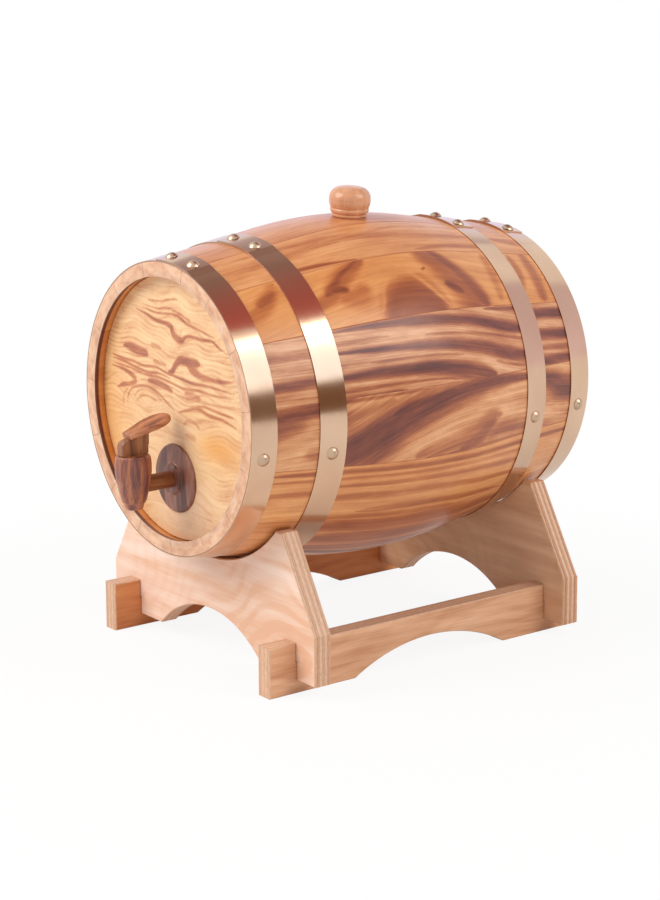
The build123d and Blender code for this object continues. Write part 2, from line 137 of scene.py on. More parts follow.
# The paper gives the eye a pure white ground with a soft grey shade round the feet: matt near the
# cask, and half a metre away all its own glow, so that no edge of it shows.
paper_size = 30.0
shade_start, shade_end = 0.12, 0.5
paper = flat_card("paper_floor", Vector((0, 0, 0)), (0, 0, 1), paper_size, paper_size)
material, tree = new_material("white_paper")
rays = add(tree, "ShaderNodeLightPath")
matt = add(tree, "ShaderNodeBsdfDiffuse", {"Color": srgb("#f4f2f0")})
glow = add(tree, "ShaderNodeEmission", {"Color": srgb("#ffffff"), "Strength": 1.0})
place = add(tree, "ShaderNodeTexCoord").outputs["Object"]
away = add(tree, "ShaderNodeVectorMath", {0: place}, operation="LENGTH")
share = 0.0
for ray, near_share in (("Is Camera Ray", 0.9), ("Is Glossy Ray", 0.2)):
    bright = add(tree, "ShaderNodeMapRange", {
        "Value": away.outputs["Value"], "From Min": shade_start, "From Max": shade_end,
        "To Min": near_share, "To Max": 1.0}, interpolation_type="SMOOTHSTEP")
    share = add(tree, "ShaderNodeMath", {0: rays.outputs[ray], 1: bright.outputs[0], 2: share},
                operation="MULTIPLY_ADD").outputs[0]
mixed = add(tree, "ShaderNodeMixShader", {0: share, 1: matt.outputs[0], 2: glow.outputs[0]})
add(tree, "ShaderNodeOutputMaterial", {"Surface": mixed.outputs[0]})
paper.data.materials.append(material)

# The room is pure white to look at, and lights things with less than half of that.
room_light = 0.45
world = bpy.data.worlds.new("white_room")
scene.world = world
world.use_nodes = True
tree = world.node_tree
tree.nodes.clear()
rays = add(tree, "ShaderNodeLightPath")
seen = rays.outputs["Is Camera Ray"]
for ray in ("Is Glossy Ray", "Is Transmission Ray"):
    seen = add(tree, "ShaderNodeMath", {0: seen, 1: rays.outputs[ray]}, operation="MAXIMUM").outputs[0]
strength = add(tree, "ShaderNodeMapRange", {"Value": seen, "To Min": room_light, "To Max": 1.0})
room = add(tree, "ShaderNodeBackground", {"Color": srgb("#ffffff"), "Strength": strength.outputs[0]})
add(tree, "ShaderNodeOutputWorld", {"Surface": room.outputs[0]})


def soft_lamp(name, azimuth, elevation, distance, size, watts, colour):
    """A square lamp that looks at the cask, from an azimuth and elevation in degrees."""
    data = bpy.data.lights.new(name, "AREA")
    data.shape = "SQUARE"
    data.size = size
    data.energy = watts
    data.color = srgb(colour)[:3]
    lamp = bpy.data.objects.new(name, data)
    outward = direction(radians(azimuth), radians(elevation))
    lamp.matrix_world = aimed(look_at + outward * distance, outward)
    scene.collection.objects.link(lamp)


soft_lamp("front_lamp", -22, 38, distance=1.9, size=1.3, watts=26, colour="#fffaf4")
soft_lamp("right_lamp", 116, 36, distance=1.7, size=1.0, watts=12, colour="#fff6ea")

# Each card has one plain colour, or fades across its width, 0, or height, 1, to a far colour.
for name, azimuth, elevation, distance, width, height, strength, colour, fade_axis, far_colour in (
    ("overhead_card", 155, 67, 1.3, 1.0, 1.0, 1.0, "#c25a55", 0, "#988280"),
    ("upper_left_card", -136, 50, 1.4, 0.9, 1.0, 1.0, "#d2c8d2", 1, "#94766e"),
    ("soft_box", 108, 34, 1.7, 0.46, 1.05, 2.1, "#dcecff", 0, None),
    ("low_right_card", 108, 5.5, 1.6, 0.7, 0.53, 1.0, "#7c5a3e", 0, None),
    ("rear_right_card", 152, 22, 1.7, 1.1, 1.3, 1.15, "#eadfec", 1, "#c8bcc6"),
    ("rear_left_card", -131, 14, 1.7, 1.3, 0.7, 1.15, "#eae8ff", 0, None),
):
    outward = direction(radians(azimuth), radians(elevation))
    card = flat_card(name, look_at + outward * distance, outward, width, height)
    material, tree = new_material(name + "_paint")
    shade = srgb(colour)
    if far_colour:
        place = add(tree, "ShaderNodeTexCoord").outputs["Object"]
        across = add(tree, "ShaderNodeSeparateXYZ", {0: place}).outputs[fade_axis]
        extent = (width, height)[fade_axis] / 2
        fade = add(tree, "ShaderNodeMapRange", {"Value": across, "From Min": -extent, "From Max": extent})
        shade = add(tree, "ShaderNodeMix", {0: fade.outputs[0], 6: shade, 7: srgb(far_colour)},
                    data_type="RGBA").outputs[2]
    paint = add(tree, "ShaderNodeEmission", {"Color": shade, "Strength": strength})
    add(tree, "ShaderNodeOutputMaterial", {"Surface": paint.outputs[0]})
    card.data.materials.append(material)
    card.visible_camera = card.visible_diffuse = card.visible_shadow = card.visible_transmission = False


# ---- staves ----
# Fifteen staves of a boldly figured softwood, bent over heat and planed round, nine millimetres
# thick. Each has its own growth rings, and all are sanded and sealed with a clear gloss varnish.

# Lengths from here on are in millimetres, and places run from the cask's front end.
mm = 0.001
rear_head_low, rear_head_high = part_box("head_rear")
axis_height = (rear_head_low.z + rear_head_high.z) / 2 / mm
top_stave_low, top_stave_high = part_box("bung_stave")
front_end = top_stave_low.y / mm
cask_length = (top_stave_high.y - top_stave_low.y) / mm
chime_radius = 89.5
end_slope = radians(9.35)
bend_start = 84.5
bend_half = cask_length / 2 - bend_start
stave_bend = bend_half / sin(end_slope)
bilge_radius = chime_radius + bend_start * tan(end_slope) + bend_half * tan(end_slope / 2)
stave_thickness = 9.0
stave_count = 15
stave_angle = 2 * pi / stave_count

# The joints are turned 2.5 degrees to the left, and the top stave takes 4 more from its neighbour on
# the right.
pattern_turn, wider_top = 2.5, 4
joint_angles = radians(90 + pattern_turn) + (0.5 - np.arange(stave_count + 1)) * stave_angle
joint_angles[1] -= radians(wider_top)

head_recess, head_thickness = 7.5, 9.0
croze_width, croze_depth = 5.0, 3.5
edge_round = 0.25
bung_angle = radians(86)
bung_place = cask_length / 2 + 2.5
bung_hole_radius = 10.0
bung_taper = radians(3)


def cask_radius(place):
    """Radius outside the staves: a straight taper from each end, then the arc of the bent middle."""
    from_end = np.minimum(place, cask_length - place)
    from_middle = np.clip(place - cask_length / 2, -bend_half, bend_half)
    middle = bilge_radius - stave_bend + np.sqrt(stave_bend**2 - from_middle**2)
    return np.where(from_end < bend_start, chime_radius + from_end * tan(end_slope), middle)


def block(lines, hole=None):
    """Vertices and quads of a closed block cut up by three lists of grid lines. The cells of its two
    large faces inside a hole's range are left out, and the hole gets four walls."""
    counts = [len(line) for line in lines]
    quads = []

    def sheet(fixed, at, outward, skip=None, span=None):
        """Quads of the grid layer where one index is fixed, each wound outwards."""
        others = [i for i in range(3) if i != fixed]
        ranges = span or [(0, counts[i] - 1) for i in others]
        cells = np.meshgrid(*[np.arange(*r) for r in ranges], indexing="ij")
        first, second = [grid.ravel() for grid in cells]
        if skip:
            inside = [(n >= low) & (n < high) for n, (low, high) in zip((first, second), skip)]
            first, second = first[~(inside[0] & inside[1])], second[~(inside[0] & inside[1])]
        corners = []
        for step in ((0, 0), (1, 0), (1, 1), (0, 1)):
            index = np.empty((len(first), 3), int)
            index[:, fixed] = at
            index[:, others[0]] = first + step[0]
            index[:, others[1]] = second + step[1]
            corners.append(index)
        quads.append(np.stack(corners if outward else corners[::-1], 1))

    last = [n - 1 for n in counts]
    for fixed in range(3):
        skip = hole if fixed == 2 else None
        sheet(fixed, 0, fixed == 1, skip)
        sheet(fixed, last[fixed], fixed != 1, skip)
    if hole:
        for fixed in (0, 1):
            span = [hole[1 - fixed], (0, last[2])]
            sheet(fixed, hole[fixed][0], fixed == 0, span=span)
            sheet(fixed, hole[fixed][1], fixed == 1, span=span)
    flat = np.ravel_multi_index(np.concatenate(quads).reshape(-1, 3).T, counts)
    used, faces = np.unique(flat, return_inverse=True)
    grid = np.unravel_index(used, counts)
    points = np.stack([np.asarray(lines[i], float)[grid[i]] for i in range(3)], 1)
    return points, faces.reshape(-1, 4)


def rounded(points, low, high, radius):
    """Round a block's edges: a point near an edge goes to the ball or cylinder that rolls inside it."""
    tiny = 1e-9
    inner = np.clip(points, np.array(low) + radius, np.array(high) - radius)
    off = points - inner
    length = np.linalg.norm(off, axis=1, keepdims=True)
    outer = inner + off / np.maximum(length, tiny) * radius
    return np.where((np.abs(off) > tiny).sum(1, keepdims=True) > 1, outer, points)


def make_piece(name, points, faces, node, body, material, attributes={}):
    """A smooth mesh in metres that stands for a CAD node and rides on its body."""
    mesh = bpy.data.meshes.new(name)
    mesh.from_pydata((points * mm).tolist(), [], [face.tolist() for face in faces])
    for key, values in attributes.items():
        layer = mesh.attributes.new(key, "FLOAT_VECTOR", "POINT")
        layer.data.foreach_set("vector", values.astype(np.float32).ravel())
    mesh.polygons.foreach_set("use_smooth", np.ones(len(faces), bool))
    mesh.materials.append(material)
    mesh.update()
    piece = bpy.data.objects.new(name, mesh)
    scene.collection.objects.link(piece)
    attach(piece, body)
    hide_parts(node)


def smooth(value):
    """Ease from 0 to 1: 3 v squared less 2 v cubed, level at both ends."""
    value = np.clip(value, 0, 1)
    return value * value * (3 - 2 * value)


def grain_marks(first, second, marks, edge=0.75):
    """Darkness of the grain at points of a board. A mark is its darkness and a route of places with a
    half width. The route runs as a Catmull-Rom curve, narrows to a point in its first and last tenth
    and fades softly across its edge, a fifth outside the half width. Marks of negative darkness wipe
    others out."""
    steps_per_run = 6
    far, wider, thinnest = 9.0, 1.2, 0.05
    dark, light = np.zeros(len(first)), np.zeros(len(first))
    for darkness, route in marks:
        knots = np.array(route, float)
        knots = np.vstack([2 * knots[0] - knots[1], knots, 2 * knots[-1] - knots[-2]])
        step = np.linspace(0, 1, steps_per_run)[:, None]
        curve = []
        for a, b, c, d in zip(knots, knots[1:], knots[2:], knots[3:]):
            squared = 2 * a - 5 * b + 4 * c - d
            cubed = 3 * (b - c) + d - a
            curve.append(b + 0.5 * step * (c - a + step * (squared + step * cubed)))
        curve = np.vstack(curve)
        run = np.linspace(0, 1, len(curve))
        curve[:, 2] *= np.sqrt(np.clip(10 * np.minimum(run, 1 - run), 0, 1))
        nearest = np.full(len(first), far)
        for start, end in zip(curve, curve[1:]):
            run = end - start
            length = max(run[0]**2 + run[1]**2, 1e-6)
            along = np.clip(((first - start[0]) * run[0] + (second - start[1]) * run[1]) / length, 0, 1)
            off = np.hypot(first - start[0] - along * run[0], second - start[1] - along * run[1])
            half_width = np.maximum(wider * (start[2] + along * run[2]), thinnest)
            nearest = np.minimum(nearest, off / half_width)
        strength = smooth((1 + edge - nearest) / (2 * edge)) * abs(darkness)
        if darkness > 0:
            dark = np.maximum(dark, strength)
        else:
            light = np.maximum(light, strength)
    return dark * (1 - light)


def ring_grain(place, across, depth, eye, stretch, spacing):
    """Darkness of growth rings round an eye, an ellipse drawn out along the board: a far eye gives
    nearly straight grain, a near one arches. Each ring darkens slowly to its late wood and ends
    sharply, rings differ in width and darkness, and slow waves bend them."""
    distance = np.hypot((place - eye[0]) / stretch, across - eye[1]) + 0.35 * depth
    turn = distance / spacing + 0.4 * np.sin(distance / (1.7 * spacing))
    turn += 0.16 * np.sin(place / 38 + across / 11)
    turn += 0.06 * np.sin(place / 15 - across / 8 + eye[0])
    inside = turn - np.floor(turn)
    late = smooth(inside / 0.8) * (1 - smooth((inside - 0.86) / 0.14))
    return (0.25 + 0.5 * np.sin(1.9 * np.floor(turn) + eye[1]) ** 2) * late, distance


def wood_coordinates(tree):
    """Sockets of a board's own attributes: grain darkness, place across and place along the grain in
    mm, and then warmth, purple stain and end grain."""
    sockets = []
    for name in ("figure", "tone"):
        held = add(tree, "ShaderNodeAttribute", attribute_name=name)
        sockets += add(tree, "ShaderNodeSeparateXYZ", {0: held.outputs["Vector"]}).outputs[:3]
    return sockets


def stretched_noise(tree, vector, scale, detail, roughness=0.5):
    """Noise drawn out by a different scale per axis, in turns per unit of its vector, a millimetre on
    wood."""
    at = add(tree, "ShaderNodeVectorMath", {0: vector, 1: scale}, operation="MULTIPLY")
    made = add(tree, "ShaderNodeTexNoise", {
        "Vector": at.outputs[0], "Scale": 1.0, "Detail": detail, "Roughness": roughness})
    return made.outputs[0]


def mixed_in(tree, base, noise, amount):
    """Base value plus a noise's swing about its middle, times an amount."""
    swing = add(tree, "ShaderNodeMath", {0: noise, 1: 0.5}, operation="SUBTRACT")
    return add(tree, "ShaderNodeMath", {0: swing.outputs[0], 1: amount, 2: base},
               operation="MULTIPLY_ADD").outputs[0]


def finish_wood(tree, colour, grain, roughness, coat, coat_roughness, relief):
    """Wood's surface: its colour under a clear coat, raised and rougher a little along the grain. The
    coat takes the place of the wood's own gloss."""
    deepest = 0.0002
    varnish_ior = 1.5
    smoother, rougher = 0.08, 0.1
    bump = add(tree, "ShaderNodeBump", {"Height": grain, "Strength": relief, "Distance": deepest})
    dull = add(tree, "ShaderNodeMapRange", {
        "Value": grain, "To Min": roughness - smoother, "To Max": roughness + rougher})
    surface = add(tree, "ShaderNodeBsdfPrincipled", {
        "Base Color": colour, "Roughness": dull.outputs[0], "IOR": varnish_ior, "Normal": bump.outputs[0],
        "Specular IOR Level": 0.5 * (1 - coat), "Coat Weight": coat, "Coat Roughness": coat_roughness,
        "Coat IOR": varnish_ior})
    add(tree, "ShaderNodeOutputMaterial", {"Surface": surface.outputs[0]})


def board_wood(name, colours, swings, coat, coat_roughness):
    """Figured wood under varnish. The broad bands of late wood come from the board's attributes, and
    four noises of given swings add the rest: frayed edges about 10 mm across, finer rings 3 mm apart,
    fibres 0.9 mm apart and resin flecks 0.4 mm wide and 6 mm long. Real flecks are finer still; drawn
    at their own size they would be lost. Warm boards are calmer. End grain is pale and speckled."""
    ground = 0.18
    material, tree = new_material(name)
    grain, across, along, warmth, stain, end_grain = wood_coordinates(tree)
    vector = add(tree, "ShaderNodeCombineXYZ", {0: across, 1: along, 2: 0.0}).outputs[0]
    dark = add(tree, "ShaderNodeMath", {0: grain, 1: 1 - ground, 2: ground},
               operation="MULTIPLY_ADD").outputs[0]
    calm = add(tree, "ShaderNodeMapRange", {"Value": warmth, "To Min": 1.0, "To Max": 0.2}).outputs[0]
    scales = ((0.1, 0.022, 1.0), (0.34, 0.007, 1.0), (1.1, 0.014, 1.0), (2.8, 0.17, 1.0))
    for scale, detail, swing in zip(scales, (3.0, 2.0, 3.0, 2.0), swings):
        noise = stretched_noise(tree, vector, scale, detail, 0.6)
        swing = add(tree, "ShaderNodeMath", {0: calm, 1: swing}, operation="MULTIPLY").outputs[0]
        dark = mixed_in(tree, dark, noise, swing)
    colour = add(tree, "ShaderNodeValToRGB", {0: dark}, stops=colours)
    warm = add(tree, "ShaderNodeMix", {0: warmth, 6: colour.outputs[0], 7: srgb("#ffdc94")},
               data_type="RGBA", blend_type="MULTIPLY")
    stained = add(tree, "ShaderNodeMix", {0: stain, 6: warm.outputs[2], 7: srgb("#dcc4d8")},
                  data_type="RGBA", blend_type="MULTIPLY")
    speck = stretched_noise(tree, vector, (0.08, 0.16, 1.0), 5.0, 0.6)
    sawn = add(tree, "ShaderNodeValToRGB", {0: speck}, stops=[
        (0.36, "#d09c7e"), (0.5, "#e3b695"), (0.64, "#eec9ab")])
    ends = add(tree, "ShaderNodeMix", {0: end_grain, 6: stained.outputs[2], 7: sawn.outputs[0]},
               data_type="RGBA")
    finish_wood(tree, ends.outputs[2], noise, roughness=0.42, coat=coat, coat_roughness=coat_roughness,
                relief=0.25)
    return material


# It gives the eye a warm honey ground, bold brown bands and soft wide glints.
varnished_wood = board_wood(
    "varnished_figured_softwood",
    [(0.0, "#f0c098"), (0.2, "#dba276"), (0.4, "#c07d54"),
     (0.6, "#a26146"), (0.8, "#84493a"), (1.0, "#663733")],
    swings=(0.9, 0.6, 0.6, 0.35), coat=0.6, coat_roughness=0.24)

# Grain of the staves on the right: warmth, purple stain and paleness of the stave, then its bands, each
# with its darkness and then the place, angle above level in degrees and half width of its points. On the
# top two staves the paleness and part of the purple stain are a painted sheen.
degree_mm = radians(1) * bilge_radius
stave_figures = {
    "bung_stave": (0.5, 0.42, 0.24, [
        (0.2, [(20, 84, 2), (80, 83, 3), (160, 80, 3), (260, 80, 2)]),
        (0.2, [(20, 93, 2), (90, 92, 3), (180, 94, 3), (260, 95, 2)])]),
    "stave_02": (0.55, 0.2, 0.1, [
        (0.6, [(47, 58.6, 0.9), (72, 58.4, 1.3), (88, 57.6, 0.9), (104, 57, 0.5)]),
        (0.35, [(146, 57.6, 0.8), (160, 58.4, 1.6), (180, 59.4, 2.2), (216, 60.6, 2.4), (222, 63, 1.5)]),
        (0.3, [(8, 66, 2), (60, 66.5, 3), (110, 69, 2), (150, 72, 1)]),
        (0.3, [(30, 73, 2), (90, 71, 3.5), (150, 66, 3), (216, 66, 2)]),
        (0.4, [(222, 66, 2), (245, 64, 4), (262, 63, 2)])]),
    "stave_03": (0.7, 0.0, 0.0, [
        (0.3, [(8, 42, 3), (26, 45, 4), (42, 56, 3)]),
        (0.45, [(25, 47, 2), (32, 49.5, 4), (38, 52.5, 2)]),
        (0.42, [(47, 40, 2), (70, 44, 4), (79, 48, 5), (90, 52.5, 4.5), (106, 57, 2.5)]),
        (0.62, [(68, 44.5, 2), (75, 47.5, 3), (84, 51.6, 2), (94, 54.6, 1.5), (102, 57, 1)]),
        (0.75, [(74, 46.5, 2), (79, 46.5, 3), (83, 45.5, 2)]),
        (0.3, [(78, 43, 4), (88, 42, 6), (94, 45, 4)]),
        (0.62, [(104, 31, 3), (108, 34, 6), (114, 37.5, 8), (122, 39.4, 9.5), (130, 39.4, 9.5),
                (138, 36.5, 7.5), (145, 31, 4)]),
        (0.62, [(117, 34, 9), (126, 35, 10), (135, 33, 9)]),
        (-0.75, [(97, 33, 1), (103, 38.2, 1.1), (106.5, 43, 1.2), (113, 46.6, 1.2), (122, 47.8, 1.2),
                 (131, 47.4, 1.4), (137, 44, 1.4), (143, 39.4, 1.4), (151, 33, 1.2)]),
        (0.5, [(146, 57.6, 5), (154, 52, 7), (162, 45.5, 8.5), (169, 38.5, 9.5), (174, 31, 9.5)]),
        (0.66, [(154, 57.6, 2.5), (161, 53, 3.5), (168, 47.5, 4), (175, 41, 5), (182, 32, 5)]),
        (0.8, [(155, 42.5, 2.2), (160, 40.5, 3.4), (165, 38.5, 2)]),
        (0.7, [(141, 48.2, 0.5), (145, 49.4, 0.6)]),
        (0.25, [(196, 34, 2), (199, 45, 3), (201, 56, 2)]),
        (0.35, [(212, 34, 2.5), (224, 44, 2.5), (225, 56, 2)]),
        (0.42, [(236, 33, 3), (238, 45, 3.5), (239, 57, 2.5)])]),
    "stave_04": (0.15, 0.25, 0.0, [
        (0.25, [(8, 26.6, 3), (54, 26, 3)]),
        (0.85, [(47, 31.8, 0.8), (100, 30.8, 2), (120, 30.3, 2.7), (140, 29.6, 2.5), (160, 28.4, 2.6),
                (175, 26.8, 2.8), (190, 24.8, 3.2), (216, 22.6, 3.8)]),
        (0.8, [(47, 24.4, 1.2), (90, 23, 1.5), (120, 21.9, 2.1), (140, 21, 2.6), (155, 19.8, 3),
               (170, 18, 3.2), (185, 15.8, 3.6), (216, 13, 3.8)]),
        (0.6, [(8, 15.8, 2.4), (54, 15.6, 2.6)]),
        (0.82, [(47, 15.4, 2.7), (100, 15.1, 2.9), (120, 14.8, 3.5), (135, 13.6, 3.9), (150, 11.6, 4.4),
                (162, 10.2, 4), (176, 8.8, 2.6)]),
        (0.35, [(47, 27.6, 0.7), (100, 26.6, 0.8)]),
        (0.35, [(120, 25.6, 0.5), (160, 23.7, 0.8), (216, 18.8, 1)]),
        (0.35, [(80, 19, 0.6), (120, 18.4, 0.8), (150, 17, 0.7)]),
        (0.3, [(8, 10.4, 1), (54, 10.4, 1)]),
        (0.45, [(47, 10.6, 0.8), (95, 11, 0.9), (130, 10.3, 0.7), (146, 9.2, 0.5)]),
        (0.6, [(47, 7.6, 1.6), (74, 8.2, 0.9), (104, 8.8, 0.5)]),
        (0.4, [(176, 13.4, 0.8), (190, 11.4, 0.8), (216, 9.6, 1)]),
        (0.6, [(176, 31.6, 0.6), (190, 31.4, 1.2), (216, 30.8, 1.4)]),
        (0.85, [(212, 28.6, 3), (260, 27.8, 3)]),
        (0.85, [(212, 20.6, 3.2), (260, 19.4, 3.4)]),
        (0.45, [(212, 15.6, 1.6), (260, 14.4, 1.8)]),
        (0.75, [(212, 10.8, 2.6), (260, 10, 2.6)])]),
    "stave_05": (0.25, 0.12, 0.0, [
        (0.82, [(47, -11, 12), (68, -9.6, 12.5), (80, -7.6, 12), (90, -4.4, 10), (100, -1.5, 8.4),
                (120, 2.1, 7), (140, 4.4, 5.6), (160, 5.9, 4.2), (180, 6.4, 3.5), (216, 5.9, 3.8)]),
        (0.95, [(92, 0.6, 1.5), (104, 2.6, 3), (122, 4.6, 2.6), (142, 6.4, 1.6)]),
        (0.35, [(47, 1, 4), (76, 2.8, 3), (96, 6, 2)]),
        (0.45, [(47, 7.4, 1.4), (90, 7.6, 0.8), (120, 8, 0.6)]),
        (0.4, [(110, -14.4, 2.5), (126, -12.8, 4), (146, -11.4, 5), (160, -8.6, 5), (170, -5.2, 3.5),
               (180, -5.4, 2)]),
        (0.5, [(146, -15, 4), (158, -12, 5.5), (168, -8, 4.5), (174, -5, 2)]),
        (0.32, [(168, -11.5, 4), (184, -11, 5), (216, -12.6, 4)]),
        (0.4, [(118, -15.4, 1.2), (170, -15.2, 1.8), (216, -15.2, 2)]),
        (0.68, [(6, 1, 7.6), (26, 3.6, 7), (36, 5.6, 5.6), (54, 6.4, 5)]),
        (0.3, [(36, -10, 3), (54, -9, 4)]),
        (0.78, [(211, 5.4, 4), (230, 2, 6), (240, -0.8, 7), (260, -2.6, 8)]),
        (0.25, [(212, -14, 2), (260, -13, 4)])]),
    "stave_06": (0.55, 0.0, 0.0, [
        (0.5, [(8, -17.4, 1.4), (100, -17.6, 1.6), (150, -18, 1.4), (216, -18.8, 1.4), (260, -20, 1.2)]),
        (0.3, [(8, -20.4, 1), (90, -20.2, 1.1), (150, -20.6, 1.3), (216, -22.4, 1.3)]),
        (0.35, [(47, -23.4, 1.2), (120, -23, 1.4), (160, -24, 1.8), (216, -27, 1.6)]),
        (0.34, [(47, -28.6, 2), (110, -27.4, 2.2), (150, -28.4, 2), (216, -33, 1.5)]),
        (0.35, [(8, -26, 1.6), (54, -25.4, 1.6)]),
        (0.36, [(80, -35.2, 2), (120, -34, 2.4), (160, -35.6, 2), (200, -39, 1.5)]),
        (0.3, [(47, -38, 2), (120, -37.6, 2.4), (160, -39.4, 2)])]),
    "stave_07": (0.6, 0.2, 0.0, [
        (0.45, [(47, -43, 4), (110, -42.4, 5), (160, -44, 5), (216, -47, 4)]),
        (0.4, [(47, -52, 5), (120, -50, 6), (180, -53, 5), (230, -56, 4)]),
        (0.4, [(47, -60, 4), (150, -59, 5), (230, -62, 4)])]),
}

# How far the fibres of a stave are shifted across it, by place.
bends = {
    "stave_04": [(0, 3), (60, 0), (140, -3), (175, -10), (205, -17), (265, -24)],
    "stave_05": [(0, -30), (60, -26), (80, -14), (100, -4), (125, 4), (150, 9), (205, 9), (265, 0)],
    "stave_06": [(0, 0), (140, 1), (205, -5), (265, -12)],
    "stave_03": [(0, -6), (60, 6), (125, 14), (190, 0), (265, -6)],
}

# Grid lines of a stave's mesh: one every 1.1 mm along it, 49 across it as shares of its half width,
# closer at the rounded edges, and a pair at each wall of the croze grooves.
edge_lines = np.array([0, 0.1, edge_round])
across_lines = np.concatenate([[-1, -0.992, -0.98], np.linspace(-0.96, 0.96, 49), [0.98, 0.992, 1]])
depth_lines = np.concatenate([edge_lines, [2, 4.5, 7], stave_thickness - edge_lines[::-1]])
croze = [place + head_thickness / 2 + side * croze_width / 2
         for place in (head_recess, cask_length - head_recess - head_thickness) for side in (-1, 1)]
place_count, first_place, wall_gap = 236, 1.2, 0.01
place_lines = np.unique(np.concatenate([
    edge_lines, np.linspace(first_place, cask_length - first_place, place_count),
    cask_length - edge_lines[::-1],
    [edge + side for edge in croze for side in (-wall_gap, wall_gap)]]))

# Round the bung hole the cells of a square are left out, and the mesh out to a larger square is drawn
# in to the hole's circle. Other lines closer to the square than a small spare are dropped.
square_half, blend_share, square_lines, spare_place, spare_across = 7.6, 1.8, 15, 0.4, 1.05

# Joints show as thin dark lines, sawn ends pale. The bare wall inside is painted paler and warmer, a
# painted light for the light that bounces into the recess, and painted shade darkens its last few
# millimetres before the mouth.
joint_start, joint_fade, joint_dark = 0.975, 0.02, 0.26
end_depth, end_share = 0.3, 0.9
mouth_depth, mouth_fade, painted_mouth_shade, painted_mouth_shade_cool = 3.6, 1.2, 1.6, 0.8
bare_grain, painted_bounce_pale, painted_bounce_warmth = 0.25, 0.15, 0.9
stave_apart = 300

dice = np.random.default_rng(7)
for number in range(stave_count):
    node = "bung_stave" if number == 0 else f"stave_{number + 1:02d}"
    upper, lower = joint_angles[number:number + 2]
    middle, half_angle = (upper + lower) / 2, (upper - lower) / 2
    half_width = half_angle * (bilge_radius + chime_radius) / 2
    places, acrosses, hole = place_lines, across_lines, None
    if number == 0:
        hole_half = square_half / bilge_radius / half_angle
        hole_middle = (bung_angle - middle) / half_angle
        places = np.unique(np.concatenate([
            places[np.abs(places - bung_place) > square_half + spare_place],
            bung_place + np.linspace(-square_half, square_half, square_lines)]))
        acrosses = np.unique(np.concatenate([
            acrosses[np.abs(acrosses - hole_middle) > hole_half * spare_across],
            hole_middle + np.linspace(-hole_half, hole_half, square_lines)]))
        grids = ((places, bung_place, square_half), (acrosses, hole_middle, hole_half))
        hole = [[int(np.argmin(np.abs(lines - edge))) for edge in (at - half, at + half)]
                for lines, at, half in grids]
    points, faces = block([places, acrosses * half_width, depth_lines], hole)
    points = rounded(points, [0, -half_width, 0], [cask_length, half_width, stave_thickness], edge_round)
    place, across, depth = points.T
    in_groove = ((place > croze[0]) & (place < croze[1])) | ((place > croze[2]) & (place < croze[3]))
    deep = in_groove & (depth > stave_thickness - edge_round)
    radius = cask_radius(place) - np.where(deep, stave_thickness - croze_depth, depth)
    angle = middle + across / half_width * half_angle
    if hole:
        off_place, off_side = place - bung_place, radius * np.sin(angle - bung_angle)
        off_arc = (angle - bung_angle) * bilge_radius
        square = np.maximum(np.abs(off_place), np.abs(off_arc)) / square_half
        share = np.clip((square - 1) / (blend_share - 1), 0, 1)
        reach = np.maximum(np.hypot(off_place, off_side), 1e-6)
        circle = bung_hole_radius - depth * tan(bung_taper)
        scale = share + (1 - share) * circle / reach
        place = bung_place + off_place * scale
        angle = bung_angle + np.arcsin(off_side * scale / radius)
        radius = np.where(share < 1, cask_radius(place) - depth, radius)
    solid = np.stack([radius * np.cos(angle), front_end + place, axis_height + radius * np.sin(angle)], 1)

    across_mm = (angle - middle) * cask_radius(place)
    if node in stave_figures:
        warmth, stain, painted_sheen_paleness, marks = stave_figures[node]
        routes = [(darkness, [(at, phi * degree_mm, width) for at, phi, width in route])
                  for darkness, route in marks]
        # The paleness taken off the grain of the top two staves is a painted sheen.
        grain = grain_marks(place, np.degrees(angle) * degree_mm, routes) - painted_sheen_paleness
        bend = np.array(bends.get(node, [(0, 0), (cask_length, 0)]), float)
        shifted = [np.interp(place + offset, *bend.T) for offset in (-12, -4, 4, 12)]
        flow = across_mm - np.mean(shifted, 0)
    else:
        eye = (dice.uniform(40, 220), dice.choice([-1, 1]) * dice.uniform(20, 120))
        grain, flow = ring_grain(place, across_mm, depth, eye, dice.uniform(2, 6), dice.uniform(14, 26))
        warmth, stain = dice.uniform(0.1, 0.5), dice.uniform(0.0, 0.3)
    from_end = np.minimum(place, cask_length - place)
    joint = smooth((np.abs(across) / half_width - joint_start) / joint_fade)
    ends = np.clip(1 - from_end / end_depth, 0, 1) * (1 - 0.3 * joint)
    mouth = smooth((mouth_depth - from_end) / mouth_fade)
    inner = depth > stave_thickness / 2
    grain = np.maximum(grain, joint_dark * joint)
    # Inside, the wall is painted paler and warmer as painted bounce light, and darker near the mouth as
    # painted shade.
    grain = np.where(inner, bare_grain * grain - painted_bounce_pale + painted_mouth_shade * mouth, grain)
    warm = np.where(inner, painted_bounce_warmth - painted_mouth_shade_cool * mouth, warmth)
    make_piece(node + "_wood", solid, faces, node, "cask", varnished_wood, {
        "figure": np.stack([grain, flow, place + depth + stave_apart * number], 1),
        "tone": np.stack([warm, np.full(len(place), stain), end_share * ends], 1)})


# ---- heads ----
# Two round boards of paler, wilder grained wood with a thinner rim that sits in the croze. The tap's
# taper is driven through the front one.
tap_drop = 43.7
face_gap, rim_gap = 0.4, 0.2
face_radius = float(cask_radius(head_recess)) - stave_thickness - face_gap
rim_radius = float(cask_radius(head_recess)) - stave_thickness + croze_depth - rim_gap
hole_radius, hole_slope = 7.5, tan(radians(2.5))

